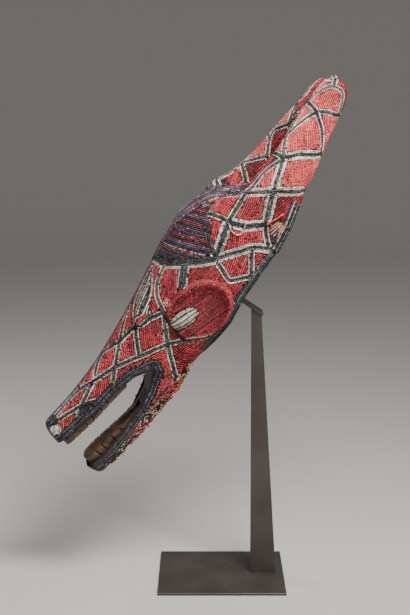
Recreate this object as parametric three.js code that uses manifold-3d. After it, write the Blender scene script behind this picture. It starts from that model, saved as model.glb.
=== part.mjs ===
// Beaded buffalo helmet mask on its display stand.
// Millimetres, +Z up, origin at the centre of the base plate's underside.
// The mask is built along its own axes and then pitched and turned: x runs from the muzzle to the
// horn tips, y towards the crown, z sideways towards the left ear.

import * as THREE from 'three';
import { mergeVertices } from 'three/addons/utils/BufferGeometryUtils.js';
import Module from 'manifold-3d';

const wasm = await Module();
wasm.setup();

// Stand
const BASE_SIZE = 200;
const BASE_THICKNESS = 4;
const BASE_BEVEL = 0.6;
const POST_THICKNESS = 8;
const POST_LEFT = 46.6;
const POST_FOOT_WIDTH = 40.9;
const POST_HEAD_WIDTH = 16;
const POST_HEIGHT = 434;
const STRIP_SLOPE = THREE.MathUtils.degToRad(33.5);
const STRIP_THICKNESS = 3;
const STRIP_FRONT = -6;
const STRIP_DEPTH = 50;
const STRIP_REACH = 190;
const STRIP_OVERHANG = 1.2;

// Mask placement
const MASK_PITCH = THREE.MathUtils.degToRad(48.4);
const MASK_YAW = THREE.MathUtils.degToRad(8);
const MUZZLE = new THREE.Vector3(-274.2, -41.3, 256.7);

// Layers
const BEADWORK_THICKNESS = 3.5;
const GAP = 0.3;
const WOOD_INSET = BEADWORK_THICKNESS + GAP;
const TEETH_INSET = 7;

// Head profiles: [distance from the muzzle, value], joined by smooth curves
const TOP_LINE = [
  [0, 5], [60, 3], [130, 8], [200, 20], [270, 36], [330, 52], [372, 61], [425, 55], [470, 43],
];
const LOW_LINE = [[0, -115], [100, -115], [180, -112], [236, -105], [262, -110], [330, -140], [460, -135]];
const HALF_WIDTH = [
  [0, 38], [60, 38], [110, 40], [165, 49], [235, 69], [300, 88], [370, 97], [430, 100], [470, 100],
];
const WIDEST_LEVEL = [[0, -58], [130, -55], [235, -48], [370, -36], [470, -42]];
const UPPER_ROUNDNESS = 2.25;
const LOWER_ROUNDNESS = 3.2;
const MUZZLE_START = -8;
const MUZZLE_ROUNDING = 18;
const MUZZLE_SQUARENESS = 3;
const MUZZLE_LEVEL = -54;
const BACK_START = 436;
const BACK_END = 508;
const BACK_SQUARENESS = 4;
const RIM_LINE = [
  [252, -104], [275, -101], [310, -97], [350, -86], [400, -79], [450, -74], [480, -68], [520, -56],
];

// Helmet cavity
const CAVITY_FRONT = 264;
const CAVITY_BACK = 494;
const CAVITY_WALL = 15;
const CAVITY_ROOF = 18;
const CAVITY_FRONT_SLOPE = 60;
const CAVITY_BACK_SLOPE = 45;
const CAVITY_FRONT_LIP = 4;
const CAVITY_BACK_LIP = 2;
const CAVITY_END_WIDTH_SHARE = 0.7;
const CAVITY_CUT_DEPTH = 80;
const STRIP_ROOM_DEPTH = 120;

// Cuts through the whole head
const CUT_WIDTH = 300;
const RIM_CUT_LEVEL = -260;

// Horn: [x, y, z, half height, half width] of its sections, left side
const HORN = [
  [384, 0, 64, 22, 24],
  [400, 0, 68, 38, 33],
  [422, -6, 71, 49, 32],
  [448, -14, 73, 54, 31],
  [482, -21, 77, 47, 30],
  [520, -14, 78, 38, 31],
  [560, -9, 72, 34, 30],
  [600, -2, 56, 30, 31],
  [635, 2, 37, 28, 34],
  [662, 6, 31, 25, 31],
];
const HORN_TIP = 697;
const HORN_TIP_LEVEL = 15;
const HORN_TIP_SIDE = 19;
const HORN_TIP_SQUARENESS = 2.2;
const HORN_TIP_CLOSING = 0.99;
const HORN_PATH_END = 0.995;
const HORN_CROWDING = 0.9;
const FAR_HORN_LIFT = 8;
const FAR_HORN_LIFT_PLACE = 478;
const FAR_HORN_LIFT_REACH = 40;

// Relief on each side of the head
const EAR = { x: 295, y: -46, halfLength: 53, halfHeight: 42, tilt: -0.16 };
const EAR_RIM = { front: 3, back: 15, riseStart: 255, riseEnd: 320, slant: 0.3 };
// Rings of the dish: [share of the radius, share of the rim's height, height above that]
const EAR_PROFILE = [[1, 0, -12], [1, 0.3, 0], [0.95, 0.9, 0], [0.86, 1, 0], [0.66, 0.45, 0], [0.36, 0.05, 0.8]];
const EAR_LENS = { x: 270, y: -38, halfLength: 22.5, halfHeight: 13.8, tilt: -0.27, rise: 9, sunk: 3 };
const EYE = { x: 255, y: 21, halfLength: 45, halfHeight: 14, tilt: 0.42, rise: 5, sunk: 7 };
const NOSTRIL = { x: 4, y: -11, z: 25, radius: 10 };

// Mouth outlines from the front opening round the corner and back, [x, y]
const LIP_EDGE = [
  [-30, -30], [0, -30], [34, -34], [79, -40], [110, -40], [151, -46], [181, -57],
  [177, -65], [143, -80], [111, -89], [76, -93], [32, -94], [0, -91], [-30, -90],
];
const TEETH_EDGE = [
  [-30, -41], [0, -42], [28, -45], [60, -48], [107, -49], [130, -50], [134, -46], [151, -49], [172, -59],
  [168, -66], [143, -83], [111, -90], [70, -85], [30, -80], [0, -78], [-30, -77],
];
const UPPER_TOOTH_GAPS = [18, 31, 46, 60, 78, 93];
const LOWER_TOOTH_GAPS = [23, 36, 56, 74];
const TOOTH_GAP = 2.2;
const TOOTH_CUT_HEIGHT = 16;
const TOOTH_CUT_WIDTH = 40;
const TOOTH_ROW_INNER = 22;
const UPPER_TOOTH_LEVEL = -48;
const LOWER_TOOTH_LEVEL = -84;
const PALATE = { start: 12, end: 122, roof: -38, floor: -94, halfWidth: 17 };

// Mesh density
const SIDE_ANGLES = [0, 14, 28, 42, 55, 67, 79, 90, 102, 118, 142, 180];
const MUZZLE_END_STEPS = [0.6, 3, 8, 18];
const MUZZLE_STATIONS = { start: 38, end: 200, step: 32.3 };
const HELMET_STATIONS = { start: 206, end: 436, step: 19 };
const BACK_END_STEPS = [60, 44, 30, 19, 10, 4, 1];
const CAVITY_STATIONS = 12;
const CAVITY_ARC = 12;
const HORN_STATIONS = 13;
const HORN_SIDES = 12;
const EAR_SIDES = 18;
const BOSS_SIDES = 10;
const MERGE_DISTANCE = 1e-4;

const rising = (from, to, value) => THREE.MathUtils.smoothstep(value, from, to);

// Value of a profile at x: a smooth curve through the pairs of its table.
function along(table, x) {
  const last = table.length - 1;
  let i = 0;
  while (i < last - 1 && x > table[i + 1][0]) i += 1;
  const slopeAt = (k) => {
    const before = table[Math.max(k - 1, 0)];
    const after = table[Math.min(k + 1, last)];
    return (after[1] - before[1]) / (after[0] - before[0]);
  };
  const span = table[i + 1][0] - table[i][0];
  const t = THREE.MathUtils.clamp((x - table[i][0]) / span, 0, 1);
  const blend = t * t * (3 - 2 * t);
  const bend = span * (t * (1 - t) * (1 - t) * slopeAt(i) - t * t * (1 - t) * slopeAt(i + 1));
  return table[i][1] * (1 - blend) + table[i + 1][1] * blend + bend;
}

// Power that keeps the sign, for rounded square sections.
const signedPower = (value, power) => Math.sign(value) * Math.abs(value) ** power;

// How far the head's ends have closed at x: 1 along its length, towards 0 at the ends.
function muzzleClosure(x, inset) {
  const start = MUZZLE_START + inset;
  const t = THREE.MathUtils.clamp((start + MUZZLE_ROUNDING - x) / MUZZLE_ROUNDING, 0, 1);
  return (1 - t ** MUZZLE_SQUARENESS) ** (1 / MUZZLE_SQUARENESS);
}

function backClosure(x, inset, squareness) {
  const t = THREE.MathUtils.clamp((x - BACK_START) / (BACK_END - inset - BACK_START), 0, 1);
  return (1 - t ** squareness) ** (1 / squareness);
}

// The head's section at x, set in by `inset`: its widest level, the heights above and below, the half width.
function headSection(x, inset) {
  const nose = muzzleClosure(x, inset);
  const rim = along(RIM_LINE, Math.max(x, BACK_START));
  const level = THREE.MathUtils.lerp(MUZZLE_LEVEL, along(WIDEST_LEVEL, x), nose);
  const top = THREE.MathUtils.lerp(rim, along(TOP_LINE, x) - inset, backClosure(x, inset, 2));
  return {
    level,
    above: Math.max((top - level) * nose, 1),
    below: (level - along(LOW_LINE, x) - inset) * nose,
    width: (along(HALF_WIDTH, x) - inset) * nose * backClosure(x, inset, BACK_SQUARENESS),
  };
}

// Point of the head's surface at x and at an angle from the crown line.
function headPoint(x, angle, inset) {
  const section = headSection(x, inset);
  const upper = Math.cos(angle) >= 0;
  const power = 2 / (upper ? UPPER_ROUNDNESS : LOWER_ROUNDNESS);
  const height = upper ? section.above : section.below;
  const y = section.level + height * signedPower(Math.cos(angle), power);
  return new THREE.Vector3(x, y, section.width * signedPower(Math.sin(angle), power));
}

// Half width of the head at a level of its section.
function headSide(x, y) {
  const section = headSection(x, 0);
  const upper = y >= section.level;
  const roundness = upper ? UPPER_ROUNDNESS : LOWER_ROUNDNESS;
  const share = Math.abs(y - section.level) / (upper ? section.above : section.below);
  return section.width * (1 - Math.min(share, 1) ** roundness) ** (1 / roundness);
}

// Closed mesh through rings of points, with a fan over each end.
function loft(rings) {
  const sides = rings[0].length;
  const positions = [];
  const index = [];
  const centreOf = (ring) => ring.reduce((sum, p) => sum.add(p), new THREE.Vector3()).divideScalar(sides);
  rings.forEach((ring) => ring.forEach((p) => positions.push(p.x, p.y, p.z)));
  for (let i = 0; i < rings.length - 1; i += 1) {
    for (let j = 0; j < sides; j += 1) {
      const a = i * sides + j;
      const b = i * sides + (j + 1) % sides;
      index.push(a, b, a + sides, b, b + sides, a + sides);
    }
  }
  const ends = [[rings[0], 0, true], [rings.at(-1), (rings.length - 1) * sides, false]];
  for (const [ring, offset, first] of ends) {
    const centre = centreOf(ring);
    const hub = positions.length / 3;
    positions.push(centre.x, centre.y, centre.z);
    for (let j = 0; j < sides; j += 1) {
      const a = offset + j;
      const b = offset + (j + 1) % sides;
      if (first) index.push(hub, b, a);
      else index.push(hub, a, b);
    }
  }
  const geometry = new THREE.BufferGeometry();
  geometry.setAttribute('position', new THREE.Float32BufferAttribute(positions, 3));
  geometry.setIndex(index);
  return geometry;
}

// Closed mesh as a solid for joining and cutting. An inside-out loft is turned round.
function solidOf(geometry) {
  const bare = geometry.clone();
  bare.deleteAttribute('normal');
  bare.deleteAttribute('uv');
  const merged = mergeVertices(bare, MERGE_DISTANCE);
  const triangles = Uint32Array.from(merged.index.array);
  const points = Float32Array.from(merged.attributes.position.array);
  const meshOptions = { numProp: 3, vertProperties: points, triVerts: triangles };
  const build = () => new wasm.Manifold(new wasm.Mesh(meshOptions));
  const solid = build();
  if (solid.volume() > 0) return solid;
  for (let i = 0; i < triangles.length; i += 3) {
    [triangles[i], triangles[i + 1]] = [triangles[i + 1], triangles[i]];
  }
  return build();
}

function geometryOf(solid) {
  const mesh = solid.getMesh();
  const geometry = new THREE.BufferGeometry();
  geometry.setAttribute('position', new THREE.BufferAttribute(Float32Array.from(mesh.vertProperties), 3));
  geometry.setIndex(new THREE.BufferAttribute(Uint32Array.from(mesh.triVerts), 1));
  geometry.computeVertexNormals();
  return geometry;
}

// Stations along the head: close together where its ends turn in.
function headStations(inset) {
  const stations = MUZZLE_END_STEPS.map((step) => MUZZLE_START + inset + step);
  for (const { start, end, step } of [MUZZLE_STATIONS, HELMET_STATIONS]) {
    for (let x = start; x < end; x += step) stations.push(x);
  }
  return [...stations, ...BACK_END_STEPS.map((step) => BACK_END - inset - step)];
}

function headSolid(inset) {
  const angles = SIDE_ANGLES.map((degree) => THREE.MathUtils.degToRad(degree));
  const around = [...angles, ...angles.slice(1, -1).reverse().map((angle) => -angle)];
  return solidOf(loft(headStations(inset).map((x) => around.map((angle) => headPoint(x, angle, inset)))));
}

// Ear: a dish with a raised rim, higher behind than in front, that stands on the side of the head.
function earSolid(side, inset) {
  const cos = Math.cos(EAR.tilt);
  const sin = Math.sin(EAR.tilt);
  const ring = ([radius, share, lift]) => Array.from({ length: EAR_SIDES }, (_, j) => {
    const angle = (j / EAR_SIDES) * Math.PI * 2;
    const u = (EAR.halfLength - inset) * radius * Math.cos(angle);
    const v = (EAR.halfHeight - inset) * radius * Math.sin(angle);
    const x = EAR.x + u * cos - v * sin;
    const y = EAR.y + u * sin + v * cos;
    const slanted = x + EAR_RIM.slant * (y - EAR.y);
    const rise = rising(EAR_RIM.riseStart, EAR_RIM.riseEnd, slanted);
    const rim = THREE.MathUtils.lerp(EAR_RIM.front, EAR_RIM.back, rise);
    return new THREE.Vector3(x, y, side * (headSide(x, y) + rim * share + lift - inset));
  });
  return solidOf(loft(EAR_PROFILE.map(ring)));
}

// Half-sunk ellipsoid on the head's side: the lens in the ear, the eye or the nostril.
function bossSolid(centre, radii, tilt, lean, side) {
  const geometry = new THREE.SphereGeometry(1, BOSS_SIDES, BOSS_SIDES / 2);
  geometry.scale(radii.x, radii.y, radii.z);
  geometry.rotateZ(tilt);
  geometry.rotateX(-lean);
  geometry.translate(centre.x, centre.y, centre.z);
  geometry.scale(1, 1, side);
  return solidOf(geometry);
}

function earLensSolid(side) {
  const centre = new THREE.Vector3(EAR_LENS.x, EAR_LENS.y, headSide(EAR_LENS.x, EAR_LENS.y) - EAR_LENS.sunk);
  const radii = new THREE.Vector3(EAR_LENS.halfLength, EAR_LENS.halfHeight, EAR_LENS.rise + EAR_LENS.sunk);
  return bossSolid(centre, radii, EAR_LENS.tilt, 0, side);
}

function eyeSolid(side) {
  const { level, above, width } = headSection(EYE.x, 0);
  const z = headSide(EYE.x, EYE.y);
  const steepness = (reach, radius) => (reach / radius) ** (UPPER_ROUNDNESS - 1) / radius;
  const lean = Math.atan2(steepness(EYE.y - level, above), steepness(z, width));
  const centre = new THREE.Vector3(EYE.x, EYE.y - EYE.sunk * Math.sin(lean), z - EYE.sunk * Math.cos(lean));
  const radii = new THREE.Vector3(EYE.halfLength, EYE.halfHeight, EYE.rise + EYE.sunk);
  return bossSolid(centre, radii, EYE.tilt, lean, side);
}

function nostrilSolid(side) {
  const centre = new THREE.Vector3(NOSTRIL.x, NOSTRIL.y, NOSTRIL.z);
  return bossSolid(centre, new THREE.Vector3().setScalar(NOSTRIL.radius), 0, 0, side);
}

// One horn: elliptical sections along a curved path that closes to a blunt tip.
function hornSolid(side, inset) {
  const lift = (x) => (side < 0 ? FAR_HORN_LIFT : 0)
    * Math.exp(-(((x - FAR_HORN_LIFT_PLACE) / FAR_HORN_LIFT_REACH) ** 2));
  const path = new THREE.CatmullRomCurve3([
    ...HORN.map(([x, y, z]) => new THREE.Vector3(x, y + lift(x), side * z)),
    new THREE.Vector3(HORN_TIP, HORN_TIP_LEVEL, side * HORN_TIP_SIDE),
  ]);
  const halfHeight = HORN.map((section) => [section[0], section[3]]);
  const halfWidth = HORN.map((section) => [section[0], section[4]]);
  const tipStart = HORN.at(-1)[0];
  const tipEnd = HORN_TIP - inset;
  const pathEnd = HORN_PATH_END - inset / path.getLength();
  const rings = [];
  for (let i = 0; i <= HORN_STATIONS; i += 1) {
    const share = Math.sin((i / HORN_STATIONS) * Math.PI / 2) ** HORN_CROWDING * pathEnd;
    const centre = path.getPoint(share);
    const tangent = path.getTangent(share);
    const up = new THREE.Vector3(0, 1, 0).addScaledVector(tangent, -tangent.y).normalize();
    const out = new THREE.Vector3().crossVectors(tangent, up);
    const t = THREE.MathUtils.clamp((centre.x - tipStart) / (tipEnd - tipStart), 0, HORN_TIP_CLOSING);
    const closure = (1 - t ** HORN_TIP_SQUARENESS) ** (1 / HORN_TIP_SQUARENESS);
    const tall = (along(halfHeight, centre.x) - inset) * closure;
    const wide = (along(halfWidth, centre.x) - inset) * closure;
    rings.push(Array.from({ length: HORN_SIDES }, (_, j) => {
      const angle = (j / HORN_SIDES) * Math.PI * 2;
      return centre.clone()
        .addScaledVector(up, tall * Math.sin(angle))
        .addScaledVector(out, wide * Math.cos(angle));
    }));
  }
  return solidOf(loft(rings));
}

// Flat outline pushed through the whole width of the head.
function throughCut(points) {
  const outline = new THREE.Shape(points.map(([x, y]) => new THREE.Vector2(x, y)));
  const geometry = new THREE.ExtrudeGeometry(outline, { depth: CUT_WIDTH, bevelEnabled: false });
  geometry.translate(0, 0, -CUT_WIDTH / 2);
  return solidOf(geometry);
}

// Everything below the rim of the helmet's opening.
function belowRim() {
  return throughCut([...RIM_LINE, [RIM_LINE.at(-1)[0], RIM_CUT_LEVEL], [RIM_LINE[0][0], RIM_CUT_LEVEL]]);
}

// Hollow of the helmet, open downwards. It is `extra` longer below the rim and `inset` smaller all round.
function cavitySolid(extra, inset) {
  const rings = [];
  const front = CAVITY_FRONT + inset;
  const back = CAVITY_BACK - inset;
  for (let i = 0; i <= CAVITY_STATIONS; i += 1) {
    const x = THREE.MathUtils.lerp(front, back, (1 - Math.cos((i / CAVITY_STATIONS) * Math.PI)) / 2);
    const frontShare = THREE.MathUtils.clamp((x - front + CAVITY_FRONT_LIP) / CAVITY_FRONT_SLOPE, 0, 1);
    const backShare = THREE.MathUtils.clamp((back - x + CAVITY_BACK_LIP) / CAVITY_BACK_SLOPE, 0, 1);
    const closure = Math.sqrt(1 - (1 - frontShare) ** 2) * Math.sqrt(1 - (1 - backShare) ** 2);
    const outer = headPoint(x, 0, CAVITY_ROOF + inset).y;
    const level = along(WIDEST_LEVEL, x);
    const roof = THREE.MathUtils.lerp(level, outer, closure);
    const width = (headSection(x, 0).width - CAVITY_WALL - inset)
      * THREE.MathUtils.lerp(CAVITY_END_WIDTH_SHARE, 1, closure);
    const ring = Array.from({ length: CAVITY_ARC + 1 }, (_, j) => {
      const angle = (0.5 - j / CAVITY_ARC) * Math.PI;
      const power = 2 / UPPER_ROUNDNESS;
      return new THREE.Vector3(
        x,
        level + Math.max(roof - level, 1) * signedPower(Math.cos(angle), power),
        width * signedPower(Math.sin(angle), power),
      );
    });
    const floor = along(RIM_LINE, x) - extra;
    ring.push(new THREE.Vector3(x, floor, -width), new THREE.Vector3(x, floor, width));
    rings.push(ring);
  }
  return solidOf(loft(rings));
}

function boxSolid(size, centre) {
  const geometry = new THREE.BoxGeometry(size.x, size.y, size.z);
  geometry.translate(centre.x, centre.y, centre.z);
  return solidOf(geometry);
}

// Saw cuts between the teeth, on both sides of the mouth, and the hollow between the rows.
function toothCuts() {
  const z = TOOTH_ROW_INNER + TOOTH_CUT_WIDTH / 2;
  const cut = (x, y) => [-z, z].map((side) => boxSolid(
    new THREE.Vector3(TOOTH_GAP, TOOTH_CUT_HEIGHT, TOOTH_CUT_WIDTH),
    new THREE.Vector3(x, y, side),
  ));
  const between = (low, high) => boxSolid(
    new THREE.Vector3(PALATE.end - PALATE.start, high - low, 2 * PALATE.halfWidth),
    new THREE.Vector3((PALATE.start + PALATE.end) / 2, (low + high) / 2, 0),
  );
  return [
    ...UPPER_TOOTH_GAPS.flatMap((x) => cut(x, UPPER_TOOTH_LEVEL)),
    ...LOWER_TOOTH_GAPS.flatMap((x) => cut(x, LOWER_TOOTH_LEVEL)),
    between(PALATE.floor, PALATE.roof),
  ];
}

const onBothSides = (feature, inset) => [feature(1, inset), feature(-1, inset)];
const joined = (solids) => solids.reduce((whole, solid) => whole.add(solid));

// Head, horns and ears in one closed form, set in by `inset`.
function carving(inset) {
  return joined([headSolid(inset), ...onBothSides(hornSolid, inset), ...onBothSides(earSolid, inset)]);
}

// Beaded cover: it lies on the carving and is padded out over the eyes, nostrils and the ears' lenses.
function buildBeadwork() {
  const bosses = [earLensSolid, eyeSolid, nostrilSolid].flatMap((feature) => onBothSides(feature, 0));
  return joined([carving(0), ...bosses])
    .subtract(carving(BEADWORK_THICKNESS))
    .subtract(cavitySolid(CAVITY_CUT_DEPTH, 0))
    .subtract(belowRim())
    .subtract(throughCut(LIP_EDGE));
}

function buildWood() {
  const behindLips = throughCut(LIP_EDGE).subtract(headSolid(TEETH_INSET));
  const wood = carving(WOOD_INSET)
    .subtract(cavitySolid(CAVITY_CUT_DEPTH, 0))
    .subtract(belowRim())
    .subtract(behindLips)
    .subtract(throughCut(TEETH_EDGE));
  return toothCuts().reduce((solid, cut) => solid.subtract(cut), wood);
}

const maskAxes = new THREE.Group();
const mask = new THREE.Group();
maskAxes.position.copy(MUZZLE);
maskAxes.rotation.z = MASK_YAW;
mask.rotation.set(Math.PI / 2, 0, MASK_PITCH);
maskAxes.add(mask);
maskAxes.updateMatrixWorld(true);

const woodMaterial = new THREE.MeshStandardMaterial({ color: 0x3a281c, roughness: 0.7, metalness: 0 });
const beadMaterial = new THREE.MeshStandardMaterial({ color: 0xa3282c, roughness: 0.35, metalness: 0 });
const metalMaterial = new THREE.MeshStandardMaterial({ color: 0x2b2624, roughness: 0.5, metalness: 0.8 });

function named(name, geometry, material) {
  const mesh = new THREE.Mesh(geometry, material);
  mesh.name = name;
  return mesh;
}

function buildBasePlate() {
  const half = BASE_SIZE / 2 - BASE_BEVEL;
  const outline = new THREE.Shape();
  outline.moveTo(-half, -half);
  outline.lineTo(half, -half);
  outline.lineTo(half, half);
  outline.lineTo(-half, half);
  outline.closePath();
  const geometry = new THREE.ExtrudeGeometry(outline, {
    depth: BASE_THICKNESS - 2 * BASE_BEVEL,
    bevelThickness: BASE_BEVEL,
    bevelSize: BASE_BEVEL,
    bevelSegments: 1,
  });
  geometry.translate(0, 0, BASE_BEVEL);
  return geometry;
}

// Outline in the x-z plane, pushed along y from `front` by `depth`.
function uprightPlate(points, front, depth) {
  const outline = new THREE.Shape(points.map(([x, z]) => new THREE.Vector2(x, z)));
  const geometry = new THREE.ExtrudeGeometry(outline, { depth, bevelEnabled: false });
  geometry.rotateX(Math.PI / 2);
  geometry.translate(0, front + depth, 0);
  return geometry;
}

function buildPost() {
  const foot = BASE_THICKNESS + GAP;
  const drop = POST_HEAD_WIDTH * Math.tan(STRIP_SLOPE);
  return uprightPlate([
    [POST_LEFT, foot],
    [POST_LEFT + POST_FOOT_WIDTH, foot],
    [POST_LEFT + POST_HEAD_WIDTH, POST_HEIGHT - drop],
    [POST_LEFT, POST_HEIGHT],
  ], -POST_THICKNESS / 2, POST_THICKNESS);
}

// Strip that rises from the post into the helmet, its far end shaped to the roof that it carries.
function buildStrip() {
  const rise = new THREE.Vector2(-Math.cos(STRIP_SLOPE), Math.sin(STRIP_SLOPE));
  const up = new THREE.Vector2(Math.sin(STRIP_SLOPE), Math.cos(STRIP_SLOPE));
  const start = new THREE.Vector2(POST_LEFT, POST_HEIGHT)
    .addScaledVector(up, GAP)
    .addScaledVector(rise, -POST_HEAD_WIDTH / Math.cos(STRIP_SLOPE) - STRIP_OVERHANG);
  const corner = (reach, height) => start.clone()
    .addScaledVector(rise, reach)
    .addScaledVector(up, height)
    .toArray();
  const blank = uprightPlate([
    corner(0, 0),
    corner(0, STRIP_THICKNESS),
    corner(STRIP_REACH, STRIP_THICKNESS),
    corner(STRIP_REACH, 0),
  ], STRIP_FRONT, STRIP_DEPTH);
  const room = geometryOf(cavitySolid(STRIP_ROOM_DEPTH, GAP)).applyMatrix4(mask.matrixWorld);
  return geometryOf(solidOf(blank).intersect(solidOf(room)));
}

mask.add(named('wooden_head', geometryOf(buildWood()), woodMaterial));
mask.add(named('beadwork', geometryOf(buildBeadwork()), beadMaterial));

const buffaloMask = new THREE.Group();
buffaloMask.add(
  maskAxes,
  named('base_plate', buildBasePlate(), metalMaterial),
  named('post', buildPost(), metalMaterial),
  named('support_strip', buildStrip(), metalMaterial),
);

export default buffaloMask;
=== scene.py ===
# Beaded buffalo mask on its stand: glass beads on strings over dark cloth, carved wood, dark iron.
# Lengths are millimetres in the mask's own axes (x muzzle to horn tips, y crown, z left ear)
# until a piece is made, and metres in the frame after that.
import itertools
import math

import bpy
import numpy as np
from mathutils import Matrix, Vector
from mathutils.bvhtree import BVHTree
from mathutils.kdtree import KDTree


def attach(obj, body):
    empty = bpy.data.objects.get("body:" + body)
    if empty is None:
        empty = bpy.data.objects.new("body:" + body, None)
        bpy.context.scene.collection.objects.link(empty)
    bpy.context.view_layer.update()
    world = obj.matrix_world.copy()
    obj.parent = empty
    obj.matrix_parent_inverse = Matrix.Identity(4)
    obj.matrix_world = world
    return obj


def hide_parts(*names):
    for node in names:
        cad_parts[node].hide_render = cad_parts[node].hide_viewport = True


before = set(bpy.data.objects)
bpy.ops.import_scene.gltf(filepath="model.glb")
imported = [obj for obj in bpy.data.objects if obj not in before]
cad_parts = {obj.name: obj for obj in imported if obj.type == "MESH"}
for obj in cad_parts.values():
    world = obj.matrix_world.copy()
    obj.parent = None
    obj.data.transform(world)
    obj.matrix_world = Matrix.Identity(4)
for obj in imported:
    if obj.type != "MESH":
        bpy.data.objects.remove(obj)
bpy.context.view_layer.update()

MM = 0.001
TINY = 1e-9
SEED = 11
RANDOM = np.random.default_rng(SEED)

# Camera, worked out from the photograph. The sensor's width lies along the photograph's height.
PHOTO_HEIGHT = 615
FOCAL_PIXELS = 1401.6
SENSOR_WIDTH = 36
CAMERA_PLACE = (-0.0262, -2.173, 0.776)
CAMERA_DOWN = math.radians(8.9)

# Backdrop
SWEEP_START = 4.5
SWEEP_RADIUS = 2.5
SWEEP_MIDDLE = 0.01
SWEEP_LEVELS = 24
SWEEP_SIDES = 96
SWEEP_COLOUR = (0.62, 0.60, 0.57)
SWEEP_ROUGHNESS = 0.85

# Light of the room, and its lamps: [name, place, target, size, power, colour]
WORLD_COLOUR = (0.55, 0.55, 0.56, 1)
WORLD_STRENGTH = 0.4
LIGHTS = [
    ["key", (0.35, -0.75, 1.4), (0.12, 0, 0.7), 0.5, 31, (1, 0.965, 0.925)],
    ["back", (-1.2, 0.9, 1.8), (0, 0, 0.45), 0.8, 14, (1, 0.98, 0.95)],
    ["fill", (1.5, -1.8, 0.9), (0, 0, 0.4), 1.6, 12, (0.97, 0.98, 1)],
]

# Mask placement
MASK_PITCH = math.radians(48.4)
MASK_YAW = math.radians(8)
MUZZLE = Vector((-274.2, -41.3, 256.7))

# Head profiles: [distance from the muzzle, value]
TOP_LINE = [[0, 5], [60, 3], [130, 8], [200, 20], [270, 36], [330, 52], [372, 61], [425, 55], [470, 43]]
LOW_LINE = [[0, -115], [100, -115], [180, -112], [236, -105], [262, -110], [330, -140], [460, -135]]
HALF_WIDTH = [
    [0, 38], [60, 38], [110, 40], [165, 49], [235, 69], [300, 88], [370, 97], [430, 100], [470, 100],
]
WIDEST_LEVEL = [[0, -58], [130, -55], [235, -48], [370, -36], [470, -42]]
UPPER_ROUNDNESS = 2.25
LOWER_ROUNDNESS = 3.2
MUZZLE_START = -8
MUZZLE_ROUNDING = 18
MUZZLE_SQUARENESS = 3
MUZZLE_LEVEL = -54
BACK_START = 436
BACK_END = 508
BACK_SQUARENESS = 4
RIM_LINE = [
    [252, -104], [275, -101], [310, -97], [350, -86], [400, -79], [450, -74], [480, -68], [520, -56],
]
HEAD_SIDES = 96
MUZZLE_STEPS = [0.2, 0.8, 2, 3.5, 5.5, 8, 11, 14.5, 18]
MIDDLE_STATIONS = np.arange(15, 440, 5)
BACK_STEPS = [64, 55, 46, 37, 29, 22, 16, 11, 7, 4, 2, 0.8, 0.2]

# Horn: [x, y, z, half height, half width], left side, and its tip
HORN = [
    [384, 0, 64, 22, 24],
    [400, 0, 68, 38, 33],
    [422, -6, 71, 49, 32],
    [448, -14, 73, 54, 31],
    [482, -21, 77, 47, 30],
    [520, -14, 78, 38, 31],
    [560, -9, 72, 34, 30],
    [600, -2, 56, 30, 31],
    [635, 2, 37, 28, 34],
    [662, 6, 31, 25, 31],
]
HORN_TIP = [697, 15, 19]
HORN_COURSE = np.array([row[:3] for row in HORN] + [HORN_TIP], float)
HORN_TIP_SQUARENESS = 2.2
HORN_TIP_GAP = 0.15
HORN_MOST_CLOSED = 0.995
HORN_STATIONS = 64
HORN_SIDES = 48
FAR_HORN_LIFT = 8
FAR_HORN_LIFT_PLACE = 478
FAR_HORN_LIFT_REACH = 40

# Relief on each side of the head
EAR = dict(x=295, y=-46, long=53, high=42, tilt=-0.16)
EAR_RIM = dict(front=3, back=15, rise=(255, 320), slant=0.3)
EAR_SIDES = 64

# Rings of an ear: [share of its radii, share of its rim's height, lift]
EAR_PROFILE = [
    [1, 0, -12], [1, 0.3, 0], [0.985, 0.7, 0], [0.95, 0.9, 0],
    [0.86, 1, 0], [0.66, 0.45, 0], [0.36, 0.05, 0.8],
]
EAR_LENS = dict(x=270, y=-38, long=22.5, high=13.8, tilt=-0.27, rise=9, sunk=3)
EYE = dict(x=255, y=21, long=45, high=14, tilt=0.42, rise=5, sunk=7)
NOSTRIL_PLACE = (8, -10, 26)
NOSTRIL_RADIUS = 9
BOSS_STATIONS = 24
BOSS_SIDES = 32
BOSS_POLE = 0.03
LIP_EDGE = [
    [-30, -30], [0, -30], [34, -34], [79, -40], [110, -40], [151, -46], [181, -57],
    [177, -65], [143, -80], [111, -89], [76, -93], [32, -94], [0, -91], [-30, -90],
]

# Skin, beads and cloth
VOXEL = 2.6
SMOOTHING_ROUNDS = 3
SMOOTHING_SHARE = 0.5
EDGE_REACH = 1.5 * VOXEL
LINE_SMOOTHING = 4
BEAD_PITCH = 2.4
BEAD_RADIUS = 1.27
BEAD_HALF_LENGTH = 1.12
BEAD_SIDES = 5
BEAD_DEPTH = 0.9
BEAD_DEPTH_SPREAD = 0.08
BEAD_SIZE_SPREAD = 0.05
BEAD_SIZE_LIMITS = (0.85, 1.12)
CLEARANCE = 1.85
NEIGHBOURS = list(itertools.product((-1, 0, 1), repeat=3))
CLOTH_DEPTH = 1.7
CLOTH_THICKNESS = 1.2
CLOTH_SHARE = 0.6

# Edges of the kinds of beadwork. The ear's are shares of its radii.
LIP_BAND = 13
FRONT_END = 12
FRONT_SLANT = 0.7
FRONT_BEND = -12
FRONT_LEVEL = -30
RIM_BAND = 13
RIM_START = 250
RIM_END = 490
JAW_LEVEL = -98
JAW_END = 205
JAW_DARK_END = 62
EYE_BOTTOM = -10
EAR_DISH = 0.87
EAR_WALL = 0.93
EAR_INNER = 0.98
EAR_OUTER = 1.03
EAR_LIFT = 1

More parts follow.
